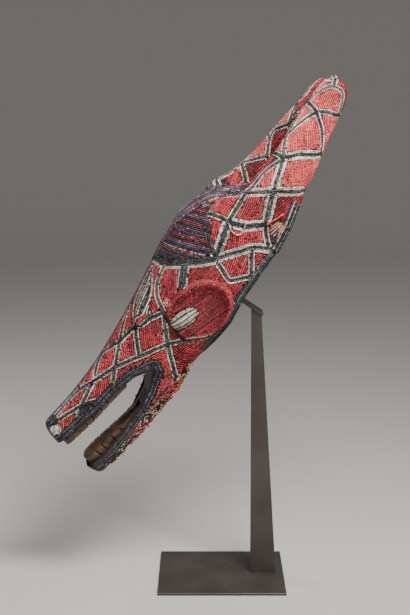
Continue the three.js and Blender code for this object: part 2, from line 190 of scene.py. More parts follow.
# Pieces of the beadwork: [where a piece ends, its name]
BEAD_PARTS = [[150, "muzzle"], [280, "cheek"], [400, "ear"], [500, "helmet"], [math.inf, "horn"]]

# Rows of beads between the lines. Their turn is measured from the mask's length: [least, most].
ROW_PITCH = 3.1
LEVEL_NUDGE = 1e-6
ROWS_PER_TRIANGLE = 8
HORN_CELLS = 500
HELMET_CELLS = 380
CHEEK_CELLS = 180
# Cells on the horns' inner faces, this near the middle and below this level, take darker red beads: painted
# shade where the horns face each other.
UPPER_CELLS = -25
INNER_SHADE_REACH = 50
INNER_SHADE_TOP = 25
CELL_TURNS = {
    "inner_painted_shade": (-0.5, 0.5),
    "horn": (-0.9, -0.3),
    "helmet": (-0.8, 0.8),
    "upper": (-0.9, -0.5),
    "side": (-0.25, 0.25),
}
HORN_START = 515
HORN_END = 650
HORN_ROUND = 31
LEAST_BEND = 0.002
BEND_MARGIN = 1.1
BEND_LIMIT = 0.99
ROW_BOW = 0.004
ROW_TURNS = [0, 15, -15, 30, -30, 45, -45, 60, -60, 75, -75, 90]
EVEN_PART = 0.08
EVEN_ENOUGH = 0.8
TURN_COST = 0.08
LEAST_PITCH_SHARE = 0.75
LENS_CONVERGENCE = 0.5

# Hand work: sideways drift of a string as [size, length], and shares of shades and of missing beads
WOBBLES = [[0.3, 7], [0.2, 3]]
SHARED_WOBBLE = 0.8
OWN_WOBBLE = 0.3
MAIN_SHADE_SHARE = 0.5
FLAP_SHADE_SHARE = 0.7
FRINGE_SHADE_SHARE = 0.9
GAP_SHARE = 0.01
RAGGED = (0.75, 1.1)

# Bead lines: offsets of the dark and of the white strings across a line, and half its width
STYLES = {
    "thin": dict(dark=[-1.2, 1.2], white=[], half=2.8),
    "eye": dict(dark=[0], white=[2.5], half=3.0),
    "narrow": dict(dark=[-1.2, 1.2], white=[-3.7, 3.7], half=5.4),
    "wide": dict(dark=[-1.25, 1.25], white=[-3.8, 3.8, -6.0, 6.0], half=7.3),
    "stem": dict(dark=[0, -2.4, 2.4, -4.7, 4.7], white=[-7.1, 7.1], half=8.5),
    "thick": dict(dark=[0, -2.3, 2.3], white=[-4.8, 4.8, -7.0, 7.0], half=8.3),
    "smear": dict(dark=[0, -2.3, 2.3], white=[], half=3.6),
    "crown_edge": dict(dark=[0, 2.4], white=[-2.4], half=3.4),
    "brow": dict(dark=[0, -2.4, 2.4, 4.8], white=[-4.8, -7.0], half=7.0),
    "edge": dict(dark=[0, -2.4, 2.4, -4.8, 4.8], white=[], half=6.2),
}

# Crossings of the bead lines on the left side
NODES = {
    "nose": (21, -5, 21), "snout1": (63, -16, 30), "snout2": (102, -6, 25), "snout3": (142, -15, 37),
    "snout4": (176, 5, 31), "cheek1": (179, -30, 50), "cheek2": (212, 4, 44), "cheek3": (223, -48, 65),
    "eye_corner": (256, -10, 69), "nose_top": (22, 0, 12), "snout_top1": (55, 2, 11),
    "snout_top2": (79, 1, 15), "ridge2": (141, 9, 6), "ridge3": (229, 25, 7), "lip1": (83, -28, 35),
    "lip2": (121, -28, 39), "lip3": (41, -26, 33), "mouth_corner": (192, -94, 50), "rim1": (277, -89, 76),
    "eye_left1": (238, 26, 22), "eye_left2": (256, 32, 17), "eye_left3": (276, 37, 15),
    "eye_tip": (296, 41, 22), "eye_right1": (284, 35, 33), "eye_right2": (273, 28, 44),
    "eye_right3": (257, 19, 51), "eye_right4": (236, 12, 55), "eye_back1": (268, 13, 59),
    "eye_back2": (282, 25, 52), "brow0": (308, 46, 8), "brow1": (312, 34, 52), "brow2": (323, 25, 68),
    "brow_ear": (333, 16, 78), "brow3": (350, 1, 87), "temple": (367, -11, 93), "ear_top": (300, -4, 84),
    "cheek_back": (357, -50, 96), "ear_back": (383, -69, 95), "side1": (417, -41, 99),
    "side2": (434, -64, 99), "root1": (422, 12, 100), "root2": (412, 38, 70), "root_low": (434, -13, 103),
    "root3": (455, -32, 102), "root4": (432, -60, 99), "root5": (471, -37, 103), "root6": (472, -47, 102),
    "root7": (466, -56, 100), "crown1": (385, 11, 88), "crown2": (399, 26, 81), "horn1": (472, 19, 94),
    "horn2": (499, -8, 106), "horn3": (531, -43, 94), "horn_bow": (508, 20, 91), "horn4": (546, 11, 97),
    "horn5": (576, 25, 70), "horn6": (590, -28, 81), "horn7": (633, 13, 66), "horn8": (641, 31, 34),
    "horn9": (654, -16, 54), "horn10": (682, 18, 50), "horn_mid": (610, 27, 52), "horn_side": (683, 0, 52),
    "horn_tip": (693, 20, 36), "inner1": (464, 38, 71), "inner2": (457, 40, 34), "inner3": (513, 26, 73),
    "inner4": (493, 5, 50), "inner5": (545, 8, 49), "inner6": (568, 22, 54), "inner7": (584, 25, 56),
    "inner8": (604, 19, 26), "inner9": (650, 10, 8), "under1": (531, -42, 62), "under2": (586, -25, 34),
    "under3": (655, -10, 14), "back1": (497, -20, 22), "back2": (506, -45, 46), "back3": (492, 12, 0),
    "back4": (508, -42, 0), "jaw1": (40, -100, 34), "jaw2": (76, -115, 0), "jaw3": (112, -102, 36),
    "lens_low1": (250, -26, 74), "lens_low2": (246, -42, 76), "lens_low3": (245, -62, 72),
    "crest": (660, 30, 25), "crest2": (674, 28, 26), "jaw4": (148, -115, 0), "jaw5": (215, -108, 0),
    "jaw6": (246, -63, 71), "crown_low1": (429, 41, 62), "crown_low2": (443, 38, 75),
    "crown_low3": (455, 31, 89),
}

# Bead lines on both sides, and those of one side only: a style, then the crossings on the line's way
SIDE_LINES = [
    "narrow eye_corner cheek2 snout4 ridge2",
    "narrow cheek2 cheek1",
    "narrow cheek3 cheek1 snout3 snout4",
    "narrow snout3 snout2 ridge2",
    "narrow nose_top snout_top1 snout_top2 snout2 snout1",
    "narrow nose snout1 lip1",
    "narrow snout1 lip3",
    "narrow snout3 lip2",
    "narrow snout4 ridge3",
    "smear eye_corner lens_low1 lens_low2 lens_low3",
    "eye cheek2 eye_left1 eye_left2 eye_left3 eye_tip",
    "eye eye_tip eye_right1 eye_right2 eye_right3 eye_right4 cheek2",
    "narrow cheek3 mouth_corner jaw5",
    "narrow cheek3 jaw6 rim1",
    "narrow eye_corner cheek3",
    "narrow eye_corner eye_back1 eye_back2 brow1",
    "brow brow0 brow1 brow2 brow_ear brow3 temple",
    "wide temple side1 side2",
    "stem ear_top brow_ear",
    "thick temple root1",
    "narrow temple cheek_back ear_back side1",
    "thin temple crown1 crown2 root2",
    "narrow root2 root1",
    "thick root1 root_low root3",
    "narrow root1 horn1",
    "thick horn2 root3",
    "crown_edge root2 crown_low1 crown_low2 crown_low3 horn1",
    "narrow root3 root4",
    "thin root5 root6 root7",
    "wide horn1 horn2 horn3",
    "narrow horn1 horn_bow horn4 horn5 horn_mid horn8",
    "wide horn2 horn4",
    "wide horn4 horn6",
    "narrow horn5 horn7 horn8",
    "narrow horn7 horn6",
    "narrow horn7 horn9",
    "narrow horn8 horn10 horn_side horn9",
    "narrow horn10 horn_tip",
    "narrow horn8 crest crest2 horn_tip",
    "narrow inner6 horn5",
    "narrow horn8 inner8 inner9",
    "narrow horn3 under1 inner5",
    "narrow horn6 under2 inner8",
    "narrow horn9 under3 inner9",
    "narrow under1 under2 under3",
    "narrow inner4 back1 back2",
    "narrow inner4 back3",
    "narrow back1 back4",
    "narrow jaw1 jaw2 jaw3 jaw4 mouth_corner",
]
LEFT_LINES = [
    "narrow inner4 inner2",
    "narrow horn4 inner5 inner6 inner7 inner8",
]
RIGHT_LINES = [
    "wide inner2 inner1 horn1",
    "narrow inner1 inner3 inner4 inner2",
    "narrow horn4 inner3 inner5 inner6 inner7 inner8",
]
EYE_OUTLINE = [
    (207, 44), (236, 18), (256, 13), (276, 11), (299, 22), (286, 36), (275, 47), (259, 54), (236, 59),
]
RIDGE_LINE = [(-8, -26, 0), (0, 0, 0), (30, 4, 0), (100, 6, 0), (180, 16, 0), (250, 32, 0), (304, 46, 0)]
NOSE_LINE = [(-7, -12, 6), (-7, -20, 16), (-6, -25, 26), (4, -29, 31), (14, -31, 33)]

# Crown: half width of its lengthwise rows at x, and the outline of the rows beside them
CROWN_HALF = [
    [290, 9], [310, 13], [354, 21], [393, 33], [422, 44], [440, 59], [455, 77], [471, 92], [490, 97],
]
CROWN_OUTLINE = [
    [286, 120], [309, 45], [312, 34], [330, 22], [353, 5], [376, -5], [385, 11], [399, 26], [412, 39],
    [433, 42], [455, 35], [471, 20], [476, 30], [476, 120],
]
CROWN_SLANT = 0.2

# Places where the beads are worn off, and where they are of another colour: [centre, radius, mixture]
WORN = [
    [(66, -24, 33), 4], [(73, -27, 34), 4], [(150, -110, 30), 6], [(108, -114, 22), 6], [(215, -104, 40), 6],
]
PATCHES = [
    [(419, 47, 49), 5, "tan_dull"], [(429, 45, 49), 5, "tan_dull"], [(438, 41, 52), 5, "tan_dull"],
    [(60, -25, 33), 7, "lip"], [(69, -25, 34), 8, "lip"], [(77, -29, 35), 6, "lip"],
    [(270, -4, 72), 7, "ear_tip"], [(121, -27, 39), 6, "olive"], [(462, -52, 99), 12, "tan"],
    [(106, 0, 22), 5, "ear_tip"],
]

# Loose end of the rim's band, and loose strings: [mixture, the places that the string runs through]
FLAP_LINE = [(436, -77, 102), (456, -72, 104), (474, -67, 106), (492, -60, 108), (510, -53, 108)]
FLAP_ROWS = 5
LOOSE_HEIGHT = 3
LOOSE_STRINGS = [
    ["white", [
        (421, 10, 100), (416, 3, 101), (414, -5, 103), (417, -13, 102), (425, -14, 102), (436, -9, 103),
    ]],
    ["ear_tip", [(457, -33, 102), (463, -35, 103), (473, -38, 103), (485, -41, 103)]],
]

# Frayed ends of strings: [line along which they stand, how many, mixture]
FRAY_SCATTER = 1.5
FRAY_SPREAD = 0.7
FRAY_LENGTH = (2.5, 3.8)
FRAY_CURL = 2.5
FRAY_PLACES = 6
FRAY_SIDE = (0.3, 0.5, 0.8)
FRAYS = [
    [[(14, -113, 26), (76, -116, 26), (150, -113, 30)], 9, "tan"],
    [[(76, -116, 26), (150, -113, 30), (262, -98, 70)], 9, "white"],
    [[(686, 21, 44), (692, 19, 38)], 24, "white"],
]

# Clumps of short strings that stand off the lower jaw: [line along which they lie, reach, number, mixture]
FRINGE_SCATTER = (2, 2, 6)
FRINGE_DROOP = (0, -1.5, 0)
FRINGE_SPREAD = 0.25
FRINGE_LENGTH = (4, 11)
FRINGE_PLACES = 4
FRINGES = [
    [[(20, -114, 12), (60, -115, 12)], 3, 70, "worn_dark"],
    [[(60, -115, 12), (88, -115, 14)], 5, 90, "worn_pale"],
    [[(88, -115, 14), (108, -114, 18)], 6, 90, "worn_red"],
    [[(112, -113, 20), (120, -112, 22)], 6, 36, "olive"],
    [[(122, -112, 22), (150, -110, 30)], 6, 100, "worn_pale"],
    [[(150, -108, 34), (190, -105, 44)], 6, 120, "worn_red"],
    [[(190, -105, 44), (214, -103, 54)], 5, 60, "worn_pale"],
]

# Bead colours, linear, and mixtures of them in percent
SHADES = {
    "red_bright": (0.52, 0.048, 0.052),
    "red": (0.37, 0.026, 0.036),
    "red_deep": (0.17, 0.011, 0.018),
    "red_pale": (0.62, 0.20, 0.17),
    "white": (0.62, 0.55, 0.46),
    "white_dull": (0.38, 0.34, 0.27),
    "white_bright": (0.80, 0.76, 0.70),
    "green_black": (0.016, 0.030, 0.026),
    "black": (0.009, 0.009, 0.011),
    "grey": (0.095, 0.100, 0.098),
    "navy": (0.014, 0.018, 0.052),
    "blue": (0.05, 0.07, 0.20),
    "purple": (0.060, 0.036, 0.072),
    "lilac": (0.17, 0.14, 0.22),
    "lilac_pale": (0.36, 0.32, 0.38),
    "coral": (0.56, 0.115, 0.100),
    "tan": (0.50, 0.30, 0.17),
    "olive": (0.20, 0.19, 0.06),
}
SHADE_NAMES = list(SHADES)
MIXES = {
    "red": dict(red_bright=36, red=36, red_deep=14, coral=14),
    "red_deep": dict(red=32, red_deep=63, red_bright=5),
    # Lighter reds for the horns: partly their own salmon red, partly painted light where the lamps fall on
    # them.
    "red_painted_light": dict(red_bright=42, coral=42, red_pale=6, red=10),
    "red_cheek": dict(red_bright=20, red=42, red_deep=31, coral=7),
    # The ear's dish takes darker reds: painted shade of its rim in the hollow.
    "dish": dict(red_bright=12, red=34, red_deep=48, black=6),
    "dish_gap": dict(red_deep=60, black=40),
    "smear": dict(black=34, green_black=30, red_deep=36),
    "red_dull": dict(red=34, red_deep=54, lilac_pale=12),
    "white": dict(white=37, white_dull=35, white_bright=10, red_pale=4, grey=9, tan=5),
    "lens": dict(white=44, white_bright=10, white_dull=46),
    "lens_gap": dict(grey=30, black=50, white_dull=20),
    "dark": dict(green_black=42, black=22, navy=16, grey=20),
    "dark_line": dict(green_black=38, black=14, navy=16, grey=32),
    "lip": dict(black=48, navy=14, green_black=30, grey=8),
    "lip_light": dict(purple=34, grey=30, lilac=22, navy=14),
    "rim_edge": dict(white_dull=22, grey=40, green_black=26, tan=12),
    "flap": dict(grey=55, white_dull=15, green_black=30),
    "purple": dict(purple=52, navy=24, lilac=6, black=18),
    "crown_dark": dict(black=38, navy=30, purple=24, grey=8),
    "lilac": dict(lilac=30, blue=10, lilac_pale=6, purple=54),
    "lilac_light": dict(lilac_pale=24, lilac=26, blue=14, white_dull=8, purple=28),
    "blue": dict(navy=56, blue=28, lilac=16),
    "tan": dict(tan=60, red_pale=20, white_dull=20),
    "tan_dull": dict(tan=35, white_dull=30, grey=20, lilac=15),
    "olive": dict(olive=60, white_dull=20, green_black=20),
    "eye": dict(white_dull=42, white=16, lilac=14, grey=28),
    "ear_tip": dict(red_pale=50, white=20, tan=10, red_bright=20),
    "worn_red": dict(red_bright=30, red=30, coral=14, tan=10, white=6, black=10),
    "worn_pale": dict(white_dull=26, tan=20, red=14, olive=12, black=28),
    "worn_dark": dict(black=54, green_black=26, tan=5, white_dull=7, red_deep=8),
    "nostril": dict(white=40, white_dull=34, white_bright=16, grey=10),
}
MIX_SUMS = {name: np.cumsum(list(shares.values())) / 100 for name, shares in MIXES.items()}
LINE_MIXES = {"edge": "purple", "smear": "smear", "brow": "dark", "crown_edge": "lilac"}

# Kinds of beadwork. A triangle takes the middle kind of its three corners, in this order.
ZONES = "nostril lens ear ear_rim lips rim jaw crown crown_side eye band cell".split()

# Mixtures of the strings of each kind in turn, and the kinds whose strings lie closer than the others
STRINGS = {
    "lens": "lens lens lens_gap",
    "nostril": "nostril",
    "lips": "lip lip_light",
    "rim": "lip dark lip_light rim_edge",
    "jaw_tip": "worn_dark",
    "jaw": "worn_red worn_red dark worn_red",
    "ear_rim": "red_cheek red",
    # The dish's darker rows are painted shade under the ear's rim.
    "ear": "dish dish red_cheek dish dish_gap red_cheek dish",
    "eye": "eye lens_gap eye eye lens_gap dark",
    "crown": "lilac crown_dark crown_dark red_deep crown_dark lilac_light crown_dark purple",
    "crown_side": "dark blue red_dull dark dark red_dull red_dull crown_dark",
}
PITCHES = {"lens": 2.5, "nostril": 2.5, "ear": 2.5, "eye": 2.5, "lips": 2.65, "crown_side": 2.7}

# Materials: scale, detail and stretch of the noise between two stains, and strength and depth of its bumps
CLOTH = dict(
    name="cloth", colour=(0.020, 0.013, 0.012), roughness=0.9, metallic=0,
    stains=((0.012, 0.009, 0.009), (0.034, 0.020, 0.018)),
    scale=900, detail=3, stretch=(1, 1, 1), bump=(0.4, 0.0004),
)
WOOD = dict(
    name="carved_wood", colour=(0.072, 0.042, 0.024), roughness=0.5, metallic=0,
    stains=((0.032, 0.018, 0.010), (0.112, 0.065, 0.037)),
    scale=30, detail=6, stretch=(1, 1, 6), bump=(0.5, 0.001),
)
IRON = dict(
    name="dark_iron", colour=(0.068, 0.057, 0.051), roughness=0.46, metallic=0.45,
    stains=((0.056, 0.046, 0.041), (0.082, 0.069, 0.062)),
    scale=14, detail=8, stretch=(1, 1, 1), bump=(0.1, 0.0003),
)
BEAD_ROUGHNESS = 0.3
BEAD_STAINS = (0.72, 1.25)
BEAD_STAIN_SCALE = 45
STAIN_EDGES = (0.35, 0.65)


def mask_matrix():
    """From the mask's axes to millimetres in the frame's axes."""
    turn = Matrix.Rotation(MASK_YAW, 4, "Z") @ Matrix.Rotation(math.pi / 2, 4, "X")
    return Matrix.Translation(MUZZLE) @ turn @ Matrix.Rotation(MASK_PITCH, 4, "Z")


MASK = np.array(mask_matrix())


def to_frame(points):
    return (np.asarray(points) @ MASK[:3, :3].T + MASK[:3, 3]) * MM


def ease(t):
    """Smooth step from 0 to 1."""
    t = np.clip(t, 0, 1)
    return t * t * (3 - 2 * t)


def along(table, x):
    """Value of a profile at x: a smooth curve through the pairs of its table."""
    keys, values = np.asarray(table, float).T
    last = len(keys) - 1
    before = np.maximum(np.arange(last + 1) - 1, 0)
    after = np.minimum(np.arange(last + 1) + 1, last)
    grades = (values[after] - values[before]) / (keys[after] - keys[before])
    i = np.clip(np.searchsorted(keys, x) - 1, 0, last - 1)
    span = keys[i + 1] - keys[i]
    t = np.clip((x - keys[i]) / span, 0, 1)
    bend = span * (t * (1 - t) ** 2 * grades[i] - t * t * (1 - t) * grades[i + 1])
    return values[i] * (1 - ease(t)) + values[i + 1] * ease(t) + bend


def mix(a, b, share):
    return a + (b - a) * share


def unit(vectors):
    return vectors / np.maximum(np.linalg.norm(vectors, axis=-1, keepdims=True), TINY)


def turns(count):
    """Even angles once round."""
    return np.linspace(0, 2 * math.pi, count, endpoint=False)


def signed_power(value, power):
    return np.sign(value) * np.abs(value) ** power


def rounding(t, squareness):
    """Falls from 1 to 0 as t grows from 0 to 1, along a circle or a squarer curve."""
    return (1 - t ** squareness) ** (1 / squareness)


def back_closure(x, squareness):
    return rounding(np.clip((x - BACK_START) / (BACK_END - BACK_START), 0, 1), squareness)


def head_section(x):
    """Widest level of the head's section at x, its heights above and below it, and its half width."""
    x = np.asarray(x, float)
    t = np.clip((MUZZLE_START + MUZZLE_ROUNDING - x) / MUZZLE_ROUNDING, 0, 1)
    nose = rounding(t, MUZZLE_SQUARENESS)
    rim = along(RIM_LINE, np.maximum(x, BACK_START))
    level = mix(MUZZLE_LEVEL, along(WIDEST_LEVEL, x), nose)
    top = mix(rim, along(TOP_LINE, x), back_closure(x, 2))
    above = np.maximum((top - level) * nose, 1)
    below = (level - along(LOW_LINE, x)) * nose
    width = along(HALF_WIDTH, x) * nose * back_closure(x, BACK_SQUARENESS)
    return level, above, below, width


def head_side(x, y):
    """Half width of the head at a level of its section."""
    level, above, below, width = head_section(x)
    upper = y >= level
    roundness = np.where(upper, UPPER_ROUNDNESS, LOWER_ROUNDNESS)
    share = np.abs(y - level) / np.where(upper, above, below)
    return width * rounding(np.minimum(share, 1), roundness)


def loft(rings):
    """Closed mesh through rings of points, as points and faces."""
    rings = np.asarray(rings)
    count, sides = rings.shape[:2]
    i, j = np.meshgrid(np.arange(count - 1), np.arange(sides), indexing="ij")
    a = i * sides + j
    b = i * sides + (j + 1) % sides
    faces = np.stack([a, b, b + sides, a + sides], -1).reshape(-1, 4).tolist()
    faces.append(list(range(sides))[::-1])
    faces.append(list(range((count - 1) * sides, count * sides)))
    return rings.reshape(-1, 3), faces


def head_form():
    front = MUZZLE_START + np.array(MUZZLE_STEPS)
    back = BACK_END - np.array(BACK_STEPS)
    angle = turns(HEAD_SIDES)
    upper = np.cos(angle) >= 0
    power = np.where(upper, 2 / UPPER_ROUNDNESS, 2 / LOWER_ROUNDNESS)
    rings = []
    for x in np.concatenate([front, MIDDLE_STATIONS, back]):
        level, above, below, width = head_section(x)
        y = level + np.where(upper, above, below) * signed_power(np.cos(angle), power)
        rings.append(np.stack([np.full_like(y, x), y, width * signed_power(np.sin(angle), power)], -1))
    return loft(rings)


def horn_middle(x):
    """Level and side of the horn's axis at x."""
    return along(HORN_COURSE[:, [0, 1]], x), along(HORN_COURSE[:, [0, 2]], x)


def horn_form(side):
    first, tip_start, end = HORN[0][0], HORN[-1][0], HORN_TIP[0]
    stations = first + (end - HORN_TIP_GAP - first) * np.sin(np.linspace(0, math.pi / 2, HORN_STATIONS))
    level, out = horn_middle(stations)
    if side < 0:
        away = (stations - FAR_HORN_LIFT_PLACE) / FAR_HORN_LIFT_REACH
        level = level + FAR_HORN_LIFT * np.exp(-away ** 2)
    centres = np.stack([stations, level, side * out], -1)
    closing = np.clip((stations - tip_start) / (end - tip_start), 0, HORN_MOST_CLOSED)
    closure = rounding(closing, HORN_TIP_SQUARENESS)
    sections = np.array(HORN, float)
    tall = along(sections[:, [0, 3]], stations) * closure
    wide = along(sections[:, [0, 4]], stations) * closure
    angle = turns(HORN_SIDES)
    rings = []
    for centre, tangent, high, broad in zip(centres, unit(np.gradient(centres, axis=0)), tall, wide):
        up = unit(np.array([0.0, 1.0, 0.0]) - tangent * tangent[1])
        across = np.cross(tangent, up)
        rings.append(centre + high * np.sin(angle)[:, None] * up + broad * np.cos(angle)[:, None] * across)
    return loft(rings)


def ear_rim(x, y):
    """Height of the ear's rim over the head, which grows backwards."""
    start, end = EAR_RIM["rise"]
    share = ease((x + EAR_RIM["slant"] * (y - EAR["y"]) - start) / (end - start))
    return mix(EAR_RIM["front"], EAR_RIM["back"], share)


def ear_form(side):
    angle = turns(EAR_SIDES)
    cos, sin = math.cos(EAR["tilt"]), math.sin(EAR["tilt"])
    rings = []
    for radius, share, lift in EAR_PROFILE:
        u = EAR["long"] * radius * np.cos(angle)
        v = EAR["high"] * radius * np.sin(angle)
        x = EAR["x"] + u * cos - v * sin
        y = EAR["y"] + u * sin + v * cos
        z = head_side(x, y) + ear_rim(x, y) * share + lift
        rings.append(np.stack([x, y, side * z], -1))
    return loft(rings)


def eye_lean():
    """How far the head's side leans back at the eye."""
    level, above, below, width = head_section(EYE["x"])
    power = UPPER_ROUNDNESS - 1
    side = head_side(EYE["x"], EYE["y"])
    up = ((EYE["y"] - level) / above) ** power / above
    out = (side / width) ** power / width
    return math.atan2(up, out)


def boss(shape, lean):
    """Centre, radii, tilt and lean of a padded boss on the head's side."""
    side = float(head_side(shape["x"], shape["y"]))
    centre = (shape["x"], shape["y"] - shape["sunk"] * math.sin(lean), side - shape["sunk"] * math.cos(lean))
    return centre, (shape["long"], shape["high"], shape["rise"] + shape["sunk"]), shape["tilt"], lean


BOSSES = {
    "lens": boss(EAR_LENS, 0),
    "eye": boss(EYE, eye_lean()),
    "nostril": (NOSTRIL_PLACE, (NOSTRIL_RADIUS,) * 3, 0, 0),
}


def boss_turn(tilt, lean):
    return np.array(Matrix.Rotation(-lean, 3, "X") @ Matrix.Rotation(tilt, 3, "Z"))


def boss_form(name, side):
    centre, radii, tilt, lean = BOSSES[name]
    angle = turns(BOSS_SIDES)
    rings = []
    for polar in np.linspace(BOSS_POLE, math.pi - BOSS_POLE, BOSS_STATIONS):
        level, reach = math.cos(polar), math.sin(polar)
        ring = np.stack([np.full_like(angle, level), reach * np.cos(angle), reach * np.sin(angle)], -1)
        ring = (ring * radii) @ boss_turn(tilt, lean).T + centre
        rings.append(ring * (1, 1, side))
    return loft(rings)


def boss_place(name, points):
    """Points in the axes of the boss on their side: along it, across it and out of the head."""
    centre, _, tilt, lean = BOSSES[name]
    near = np.column_stack([points[:, :2], np.abs(points[:, 2])])
    return (near - centre) @ boss_turn(tilt, lean)


def add_object(name, data):
    added = bpy.data.objects.new(name, data)
    bpy.context.scene.collection.objects.link(added)
    return added


def mesh_object(name, points, faces):
    """A smooth-shaded object from arrays or lists of points and faces."""
    mesh = bpy.data.meshes.new(name)
    mesh.from_pydata(np.asarray(points).tolist(), [], faces)
    mesh.shade_smooth()
    return add_object(name, mesh)


def evaluated(source):
    """The object's mesh after its modifiers, as points and triangles. The object is removed."""
    graph = bpy.context.evaluated_depsgraph_get()
    mesh = bpy.data.meshes.new_from_object(source.evaluated_get(graph))
    mesh.calc_loop_triangles()
    points = np.empty(len(mesh.vertices) * 3)
    mesh.vertices.foreach_get("co", points)
    triangles = np.empty(len(mesh.loop_triangles) * 3, np.int32)
    mesh.loop_triangles.foreach_get("vertices", triangles)
    old = source.data
    bpy.data.objects.remove(source)
    bpy.data.meshes.remove(old)
    bpy.data.meshes.remove(mesh)
    return points.reshape(-1, 3), triangles.reshape(-1, 3)


def edges_of(triangles):
    """Every edge as two sorted corners, and how many triangles share it."""
    pairs = np.concatenate([triangles[:, [0, 1]], triangles[:, [1, 2]], triangles[:, [2, 0]]])
    return np.unique(np.sort(pairs, axis=1), axis=0, return_counts=True)


def smoothed(points, triangles, rounds, share):
    pairs, _ = edges_of(triangles)
    for _ in range(rounds):
        total = np.zeros_like(points)
        count = np.zeros(len(points))
        for a, b in ((0, 1), (1, 0)):
            np.add.at(total, pairs[:, a], points[pairs[:, b]])
            np.add.at(count, pairs[:, a], 1)
        points = mix(points, total / np.maximum(count, 1)[:, None], share)
    return points


def vertex_normals(points, triangles):
    a, b, c = (points[triangles[:, k]] for k in range(3))
    face = np.cross(b - a, c - a)
    normals = np.zeros_like(points)
    for k in range(3):
        np.add.at(normals, triangles[:, k], face)
    return unit(normals)


def line_distance(points, line):
    """Distance in the plane from points to an outline, and the nearest place on it."""
    line = np.asarray(line, float)
    best = np.full(len(points), np.inf)
    nearest = np.zeros((len(points), 2))
    for start, end in zip(line[:-1], line[1:]):
        step = end - start
        t = np.clip((points - start) @ step / (step @ step), 0, 1)
        place = start + t[:, None] * step
        gap = np.linalg.norm(points - place, axis=1)
        closer = gap < best
        best = np.where(closer, gap, best)
        nearest[closer] = place[closer]
    return best, nearest


def inside(points, outline):
    outline = np.asarray(outline, float)
    crossings = np.zeros(len(points), int)
    for (x0, y0), (x1, y1) in zip(outline, np.roll(outline, -1, axis=0)):
        spans = (y0 > points[:, 1]) != (y1 > points[:, 1])
        if y0 == y1:
            continue
        crossings += spans & (points[:, 0] < x0 + (x1 - x0) * (points[:, 1] - y0) / (y1 - y0))
    return crossings % 2 == 1


def below_rim(points):
    return (points[:, 0] > RIM_LINE[0][0]) & (points[:, 1] < np.interp(points[:, 0], *np.array(RIM_LINE).T))


def tree_of(points):
    """Tree that finds the nearest of the points."""
    tree = KDTree(len(points))
    for i, point in enumerate(points):
        tree.insert(point, i)
    tree.balance()
    return tree


def build_skin():
    """Outer surface of the beadwork: points, normals and triangles, with the mouth and helmet cut open."""
    forms = [head_form()]
    for side in (1, -1):
        forms += [horn_form(side), ear_form(side)]
        forms += [boss_form(name, side) for name in BOSSES]
    points, faces = [], []
    for form_points, form_faces in forms:
        offset = sum(len(p) for p in points)
        points.append(form_points)
        faces += [[v + offset for v in face] for face in form_faces]
    skin = mesh_object("skin", np.concatenate(points), faces)
    remesh = skin.modifiers.new("remesh", "REMESH")
    remesh.mode = "VOXEL"
    remesh.voxel_size = VOXEL
    points, triangles = evaluated(skin)
    points = smoothed(points, triangles, SMOOTHING_ROUNDS, SMOOTHING_SHARE)
    flat = points[triangles].mean(axis=1)[:, :2]
    cut = inside(flat, LIP_EDGE) | below_rim(flat)
    triangles = triangles[~cut]
    used, triangles = np.unique(triangles, return_inverse=True)
    points = points[used]
    triangles = triangles.reshape(-1, 3)
    pairs, counts = edges_of(triangles)
    border = np.unique(pairs[counts == 1])
    for outline in (LIP_EDGE, RIM_LINE):
        gap, nearest = line_distance(points[border, :2], outline)
        near = gap < EDGE_REACH
        points[border[near], :2] = nearest[near]
    return points, vertex_normals(points, triangles), triangles


POINTS, NORMALS, TRIANGLES = build_skin()
SURFACE = BVHTree.FromPolygons(POINTS.tolist(), TRIANGLES.tolist())
CORNERS = tree_of(POINTS)


def on_skin(points):
    """The nearest places on the skin, and its normals there."""
    places = np.array([SURFACE.find_nearest(Vector(p))[0] for p in points])
    normals = np.array([NORMALS[CORNERS.find(Vector(p))[1]] for p in places])
    return places, normals


def resampled(points, step):
    """Rows of numbers along a line whose first three columns are places, at even steps."""
    lengths = np.linalg.norm(np.diff(points[:, :3], axis=0), axis=1)
    reach = np.concatenate([[0], np.cumsum(lengths)])
    count = int(reach[-1] / step)
    if count < 1:
        return points[:0]
    start = (reach[-1] - count * step) / 2
    stops = start + step * np.arange(count + 1)
    return np.stack([np.interp(stops, reach, column) for column in points.T], -1)


def surface_line(nodes):
    """Places about a millimetre apart on the skin from node to node, and the skin's normals."""
    nodes = np.asarray(nodes, float)
    line = np.concatenate([nodes[:1], resampled(nodes, 2), nodes[-1:]])
    places, _ = on_skin(line)
    for _ in range(LINE_SMOOTHING):
        places[1:-1] = (places[:-2] + 2 * places[1:-1] + places[2:]) / 4
    places, _ = on_skin(resampled(places, 1))
    return on_skin(places)


def on_side(nodes, side):
    return [(x, y, side * z) for x, y, z in nodes]


def all_lines():
    """Every bead line as its style, its side, its places and the normals there."""
    lines = [("edge", 1, *surface_line(RIDGE_LINE))]
    for side in (1, -1):
        lines.append(("edge", side, *surface_line(on_side(NOSE_LINE, side))))
        for line in SIDE_LINES + (RIGHT_LINES if side < 0 else LEFT_LINES):
            style, *names = line.split()
            nodes = [NODES[name] for name in names]
            lines.append((style, side, *surface_line(on_side(nodes, side))))
    return lines


LINES = all_lines()


def marked(points, marks):
    """Index of the mark that each point lies in, or -1. The marks have ragged edges."""
    found = np.full(len(points), -1)
    for i, (centre, radius, *_) in enumerate(marks):
        reach = radius * RANDOM.uniform(*RAGGED, len(points))
        found[np.linalg.norm(points - centre, axis=1) < reach] = i
    return found


